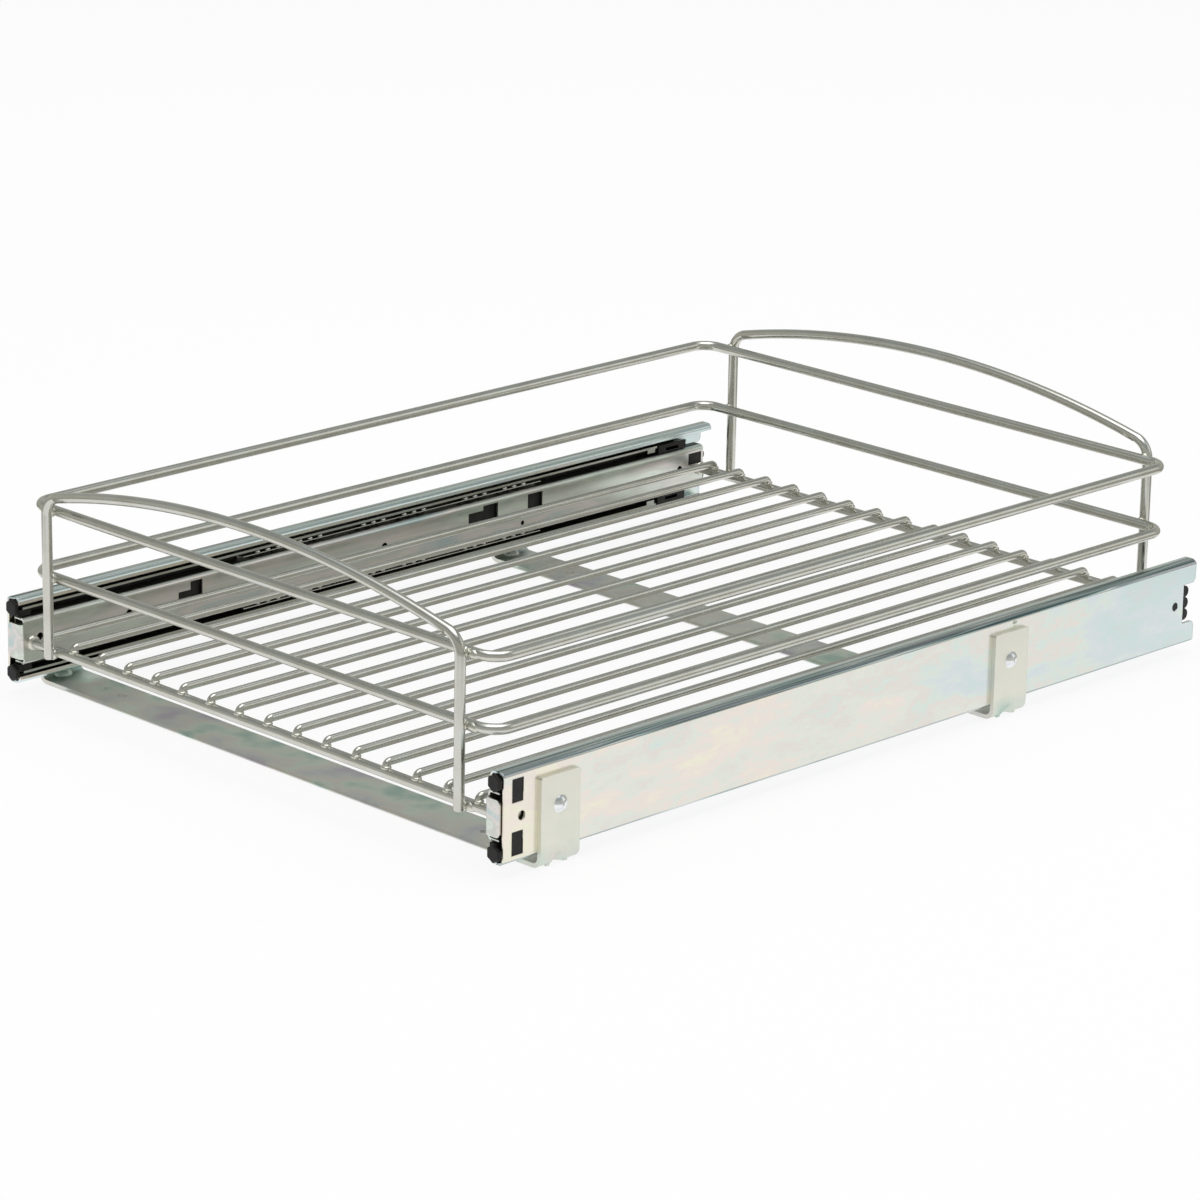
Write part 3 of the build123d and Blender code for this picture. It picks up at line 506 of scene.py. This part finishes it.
# The sheared foot of each post is rounded over by tumbling: its height in millimetres and its girth there
sheared = ((0.0, 0.62), (0.12, 0.80), (0.40, 0.92), (0.90, 0.985), (1.60, 1.0))
right_post, left_post = [[((x, front_y, frame_low.z + rise * MM), 0.0, girth) for rise, girth in sheared]
                         for x in (post_x, -post_x)]
arch = [((post_x, front_y, corner_z), corner_r, 1.0), ((0.0, front_y, peak_z), arch_r, 1.0),
        ((-post_x, front_y, corner_z), corner_r, 1.0)]
end_frames = basket_piece("basket_end_frames",
                          bend_wire(right_post + arch + left_post[::-1], closed=False, diameter=frame_wire,
                                    sides=20, steps=28, copies=2, step=(0.0, rear_y - front_y, 0.0)))
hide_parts("front_arch_frame", "rear_arch_frame")


# Basket side rails: two closed loops of the same wire, butt welded in the rear run and ground flush. They
# stand inside the four posts, which they are welded to.
low_loop, low_loop_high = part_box("middle_rail_loop")
top_loop, top_loop_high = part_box("top_rail_loop")
loop_x = low_loop_high.x - frame_wire / 2
loop_front = low_loop.y + frame_wire / 2
loop_rear = low_loop_high.y - frame_wire / 2
low_loop_z = (low_loop.z + low_loop_high.z) / 2
top_loop_z = (top_loop.z + top_loop_high.z) / 2
loop_corner = 10.8 * MM
around = [((x, y, low_loop_z), loop_corner, 1.0) for x, y in
          ((-loop_x, loop_front), (loop_x, loop_front), (loop_x, loop_rear), (-loop_x, loop_rear))]
side_rails = basket_piece("basket_side_rails",
                          bend_wire(around, closed=True, diameter=frame_wire, sides=20, steps=20, copies=2,
                                    step=(0.0, 0.0, top_loop_z - low_loop_z)))
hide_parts("middle_rail_loop", "top_rail_loop")


# Basket cross wires: two straight lengths of the same wire under the floor, welded to the feet of the posts
# and by their ends to the webs of the inner rails.
cross_low, cross_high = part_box("front_cross_wire")
far_cross_low, far_cross_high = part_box("rear_cross_wire")
cross_y = (cross_low.y + cross_high.y) / 2
far_cross_y = (far_cross_low.y + far_cross_high.y) / 2
cross_z = (cross_low.z + cross_high.z) / 2
straight = [((x, cross_y, cross_z), 0.0, 1.0) for x in (cross_low.x, cross_high.x)]
cross_wires = basket_piece("basket_cross_wires",
                           bend_wire(straight, closed=False, diameter=frame_wire, sides=20, steps=1, copies=2,
                                     step=(0.0, far_cross_y - cross_y, 0.0)))
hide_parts("front_cross_wire", "rear_cross_wire")


# Basket floor wires: sixteen thinner wires along the basket, evenly apart, each with both ends bent down
# and welded on top of the cross wires.
floor_nodes = sorted(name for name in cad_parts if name.startswith("floor_wire_"))
wire_low, wire_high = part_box(floor_nodes[0])
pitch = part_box(floor_nodes[1])[0].x - wire_low.x
floor_wire = wire_high.x - wire_low.x
wire_x = (wire_low.x + wire_high.x) / 2
wire_front = wire_low.y + floor_wire / 2
wire_rear = wire_high.y - floor_wire / 2
wire_top = wire_high.z - floor_wire / 2
floor_bend = 2.5 * MM
bridge = [((wire_x, wire_front, wire_low.z), 0.0, 1.0), ((wire_x, wire_front, wire_top), floor_bend, 1.0),
          ((wire_x, wire_rear, wire_top), floor_bend, 1.0), ((wire_x, wire_rear, wire_low.z), 0.0, 1.0)]
floor_wires = basket_piece("basket_floor_wires",
                           bend_wire(bridge, closed=False, diameter=floor_wire, sides=16, steps=12,
                                     copies=len(floor_nodes), step=(pitch, 0.0, 0.0)))
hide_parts(*floor_nodes)


# Welds: where two wires cross, the weld leaves a collar of steel, and the plating comes out brighter there.
# Longer beads lie beside the posts, on the side rails and on the ends of the cross wires.

# Each weld's reach along x, y and z, and how far it lies outwards, away from the basket and down from its
# joint, all in millimetres
post_collar = ((3.0, 2.6, 3.0), (0.0, 0.0, 0.0))
rail_bead = ((4.6, 2.5, 2.5), (4.6, 1.3, 0.3))
foot_collar = ((3.3, 3.3, 2.9), (0.0, 0.0, 0.9))
foot_bead = ((4.2, 2.6, 2.6), (3.4, 1.0, 0.5))
end_weld = ((2.0, 4.0, 4.0), (-0.7, 0.0, 0.0))
floor_collar = ((2.7, 2.6, 1.3), (0.0, 0.0, -0.1))
weld_spots = []


def weld(kind, side, away, joint):
    """Notes the spot and the reach of a weld near a joint, on one side and at one end of the basket."""
    reach, (out, off, down) = kind
    x, y, z = joint
    spot = (x + side * out * MM, y + away * off * MM, z - down * MM)
    weld_spots.append((spot, [part * MM for part in reach]))


for post_y, rail_y, end_y, away in ((front_y, loop_front, cross_y, -1), (rear_y, loop_rear, far_cross_y, 1)):
    between = (post_y + rail_y) / 2
    for side in (-1, 1):
        for height in (low_loop_z, top_loop_z):
            weld(post_collar, side, away, (side * post_x, between, height))
            weld(rail_bead, side, away, (side * post_x, rail_y, height))
        weld(foot_collar, side, away, (side * post_x, between, cross_z))
        weld(foot_bead, side, away, (side * post_x, end_y, cross_z))
        weld(end_weld, side, away, (side * cross_high.x, end_y, cross_z))
    for number in range(len(floor_nodes)):
        weld(floor_collar, 1, away, (wire_x + number * pitch, end_y, cross_high.z))

spots = bpy.data.meshes.new("weld_spots")
spots.from_pydata([spot for spot, reach in weld_spots], [], [])
reaches = spots.attributes.new("reach", "FLOAT_VECTOR", "POINT")
for datum, (spot, reach) in zip(reaches.data, weld_spots):
    datum.vector = reach

# A round bead is set on each spot, stretched to its reach, tilted a little and made uneven
tilt = 0.12
weld_beads, weld_inputs, given = new_tree(
    "weld_beads", (("Spots", "NodeSocketGeometry"), ("Unevenness", "NodeSocketFloat"),
                   ("Seed", "NodeSocketInt"), ("Finish", "NodeSocketMaterial")), "Beads")
bead = add_node(weld_beads, "GeometryNodeMeshIcoSphere", {"Radius": 1.0, "Subdivisions": 3})
reach = add_node(weld_beads, "GeometryNodeInputNamedAttribute", {"Name": "reach"}, data_type="FLOAT_VECTOR")
turn = add_node(weld_beads, "FunctionNodeRandomValue", {"Min": (0.0, -tilt, -tilt), "Max": (0.0, tilt, tilt)},
                {"Seed": given.outputs["Seed"]}, data_type="FLOAT_VECTOR")
placed = add_node(weld_beads, "GeometryNodeInstanceOnPoints",
                  links={"Points": given.outputs["Spots"], "Instance": bead.outputs["Mesh"],
                         "Rotation": turn.outputs["Value"], "Scale": reach.outputs["Attribute"]})
real = add_node(weld_beads, "GeometryNodeRealizeInstances", links={"Geometry": placed.outputs["Instances"]})
spot = add_node(weld_beads, "GeometryNodeInputPosition")
swell = add_node(weld_beads, "ShaderNodeTexNoise", {"Scale": 1 / (2.2 * MM), "Detail": 1.0},
                 {"Vector": spot.outputs["Position"]})
centred = add_node(weld_beads, "ShaderNodeMath", {1: 0.5}, {0: swell.outputs["Fac"]}, operation="SUBTRACT")
push = add_node(weld_beads, "ShaderNodeMath",
                links={0: centred.outputs["Value"], 1: given.outputs["Unevenness"]}, operation="MULTIPLY")
outward = add_node(weld_beads, "GeometryNodeInputNormal")
shift = add_node(weld_beads, "ShaderNodeVectorMath",
                 links={0: outward.outputs["Normal"], "Scale": push.outputs["Value"]}, operation="SCALE")
uneven = add_node(weld_beads, "GeometryNodeSetPosition",
                  links={"Geometry": real.outputs["Geometry"], "Offset": shift.outputs["Vector"]})
smooth = add_node(weld_beads, "GeometryNodeSetShadeSmooth", links={"Geometry": uneven.outputs["Geometry"]})
plated = add_node(weld_beads, "GeometryNodeSetMaterial",
                  links={"Geometry": smooth.outputs["Geometry"], "Material": given.outputs["Finish"]})
add_node(weld_beads, "NodeGroupOutput", links={"Beads": plated.outputs["Geometry"]})

# Nickel over a weld: the same plate as the wire but brighter and rougher, pitted about every millimetre
weld_nickel, tree, shader, place = new_finish("nickel_plated_weld")
pits = add_node(tree, "ShaderNodeTexNoise", {"Scale": 1 / (1.0 * MM), "Detail": 2.0}, {"Vector": place})
tint = add_node(tree, "ShaderNodeValToRGB", links={"Fac": pits.outputs["Fac"]},
                stops=((0.35, "#d0cfc4"), (0.65, "#e0dfd6")))
gloss = add_node(tree, "ShaderNodeMapRange", {"To Min": 0.20, "To Max": 0.38},
                 {"Value": pits.outputs["Fac"]})
relief = add_node(tree, "ShaderNodeBump", {"Strength": 0.25, "Distance": 0.1 * MM},
                  {"Height": pits.outputs["Fac"]})
coat(tree, shader, tint.outputs["Color"], gloss, relief)
basket_piece("wire_welds", made_from(spots, weld_beads, weld_inputs,
                                     {"Unevenness": 0.5 * MM, "Seed": 7, "Finish": weld_nickel}))


# Studio: a white floor that keeps a faint shadow, a large soft light overhead and a smaller one at the right
# rear. Grey cloth hangs around the set and lies around the white sheet, and a grey patch under the basket is
# painted shade for the basket's shadow on the floor. They are seen only in reflections.
def shown_white(tree):
    """One for what the camera sees, also in metal and through glass, and zero for the light on the object."""
    ray = add_node(tree, "ShaderNodeLightPath")
    seen = add_node(tree, "ShaderNodeMath", operation="MAXIMUM",
                    links={0: ray.outputs["Is Camera Ray"], 1: ray.outputs["Is Glossy Ray"]})
    shown = add_node(tree, "ShaderNodeMath", operation="MAXIMUM",
                     links={0: seen.outputs["Value"], 1: ray.outputs["Is Transmission Ray"]})
    return shown.outputs["Value"]


def new_surface(name):
    """A new material for the studio, with its tree and the socket that its surface goes to."""
    surface = bpy.data.materials.new(name)
    surface.use_nodes = True
    tree = surface.node_tree
    tree.nodes.remove(tree.nodes["Principled BSDF"])
    return surface, tree, tree.nodes["Material Output"].inputs["Surface"]


def set_up(name, points, faces, surface):
    """A piece of the studio with its surface."""
    mesh = bpy.data.meshes.new(name)
    mesh.from_pydata(points, [], faces)
    mesh.materials.append(surface)
    piece = bpy.data.objects.new(name, mesh)
    bpy.context.scene.collection.objects.link(piece)
    return piece


def rectangle(left, front, right, rear, height):
    """The corners of a level rectangle."""
    return [(left, front, height), (right, front, height), (right, rear, height), (left, rear, height)]


# White paper: matt white that takes a shadow, mostly covered by an even white for what the camera sees
even_share = 0.85
paper, tree, surface = new_surface("white_paper_floor")
share = add_node(tree, "ShaderNodeMath", {1: even_share}, {0: shown_white(tree)}, operation="MULTIPLY")
matt = add_node(tree, "ShaderNodeBsdfDiffuse", {"Color": linear("#ffffff")})
glow = add_node(tree, "ShaderNodeEmission", {"Color": linear("#ffffff"), "Strength": 1.0})
mixed = add_node(tree, "ShaderNodeMixShader",
                 links={0: share.outputs["Value"], 1: matt.outputs["BSDF"], 2: glow.outputs["Emission"]})
tree.links.new(mixed.outputs["Shader"], surface)
floor_reach = 8.0
floor = set_up("studio_floor", rectangle(-floor_reach, -floor_reach, floor_reach, floor_reach, 0.0),
               [(0, 1, 2, 3)], paper)

# Grey cloth: pale at the foot, darkest from a half to two thirds of its height, and white at the top
wall_reach, wall_height, wall_panels = 2.6, 4.5, 64
cloth, tree, surface = new_surface("grey_studio_cloth")
height = add_node(tree, "ShaderNodeSeparateXYZ",
                  links={"Vector": add_node(tree, "ShaderNodeTexCoord").outputs["Object"]})
fade = add_node(tree, "ShaderNodeMapRange", {"From Max": wall_height}, {"Value": height.outputs["Z"]})
shade = add_node(tree, "ShaderNodeValToRGB", links={"Fac": fade.outputs["Result"]},
                 stops=((0.0, "#a9a9a3"), (0.05, "#bdbcb4"), (0.20, "#bcbcb5"), (0.32, "#a9aca9"),
                        (0.50, "#949998"), (0.68, "#939998"), (0.82, "#b0b4b4"), (1.0, "#ffffff")))
glow = add_node(tree, "ShaderNodeEmission", {"Strength": 1.0}, {"Color": shade.outputs["Color"]})
tree.links.new(glow.outputs["Emission"], surface)
turns = [2 * math.pi * n / wall_panels for n in range(wall_panels)]
rim = [(wall_reach * math.cos(turn), wall_reach * math.sin(turn)) for turn in turns]
walls = set_up("grey_cloth_walls", [(x, y, z) for z in (0.0, wall_height) for x, y in rim],
               [(n, (n + 1) % wall_panels, wall_panels + (n + 1) % wall_panels, wall_panels + n)
                for n in range(wall_panels)], cloth)

# The cloth on the table leaves the white sheet free, but for a patch under the basket: painted shade that
# stands for the basket's shadow on the floor where metal mirrors it
cloth_lie = 0.6 * MM
sheet_edges = (-0.42, -0.60, 0.48, 0.42)
# painted shade: a grey patch under the basket, for the basket's shadow as metal mirrors it
basket_shadow_patch_edges = (-0.165, -0.24, 0.165, 0.245)
table = set_up("grey_cloth_table_and_shade_patch",
               rectangle(-wall_reach, -wall_reach, wall_reach, wall_reach, cloth_lie)
               + rectangle(*sheet_edges, cloth_lie) + rectangle(*basket_shadow_patch_edges, cloth_lie),
               [(0, 1, 5, 4), (1, 2, 6, 5), (2, 3, 7, 6), (3, 0, 4, 7), (8, 9, 10, 11)], cloth)
for draped in (walls, table):
    draped.visible_camera = False
    draped.visible_diffuse = False
    draped.visible_shadow = False

light_level = 0.65
surround = bpy.data.worlds.new("white_surround")
bpy.context.scene.world = surround
surround.use_nodes = True
tree = surround.node_tree
level = add_node(tree, "ShaderNodeMapRange", {"To Min": light_level, "To Max": 1.0},
                 {"Value": shown_white(tree)})
tree.links.new(level.outputs["Result"], tree.nodes["Background"].inputs["Strength"])
tree.nodes["Background"].inputs["Color"].default_value = linear("#ffffff")

lit_middle = Vector((0, 0, 0.05))
for name, width, watts, stand in (("overhead_softbox", 1.8, 20.0, (0.1, -0.1, 2.4)),
                                  ("rear_softbox", 1.3, 2.8, (1.5, 1.5, 1.25))):
    softbox = bpy.data.lights.new(name, "AREA")
    softbox.shape = "SQUARE"
    softbox.size = width
    softbox.energy = watts
    lamp = bpy.data.objects.new(name, softbox)
    bpy.context.scene.collection.objects.link(lamp)
    lamp.location = stand
    lamp.rotation_euler = (lit_middle - lamp.location).to_track_quat("-Z", "Y").to_euler()
    lamp.visible_camera = False


# Camera: 2.55 m away, turned 45 degrees to the front right and 17.5 degrees up, with a long lens. It is
# rolled by one degree, and its target lies a few pixels off the middle of a picture 1200 pixels wide.
lens = bpy.data.cameras.new("photo_view")
lens.sensor_width = 36.0
lens.lens = 147.33
lens.clip_end = 30.0
camera = bpy.data.objects.new("photo_view", lens)
bpy.context.scene.collection.objects.link(camera)
azimuth, elevation, roll = (math.radians(v) for v in (44.8607, 17.5208, 1.0819))
back = Vector((math.sin(azimuth) * math.cos(elevation), -math.cos(azimuth) * math.cos(elevation),
               math.sin(elevation)))
level_right = Vector((math.cos(azimuth), math.sin(azimuth), 0.0))
level_up = back.cross(level_right)
right = math.cos(roll) * level_right + math.sin(roll) * level_up
up = -math.sin(roll) * level_right + math.cos(roll) * level_up
distance = 2.55431
target = Vector((0.0, 0.0011, 0.054))
focal_px = 4910.98
target_right_px, target_up_px = 13.31, 26.44
pixel = distance / focal_px
stand = target + back * distance - right * (target_right_px * pixel) - up * (target_up_px * pixel)
camera.matrix_world = Matrix.Translation(stand) @ Matrix((right, up, back)).transposed().to_4x4()
bpy.context.scene.camera = camera

bpy.context.scene.view_settings.view_transform = "Standard"
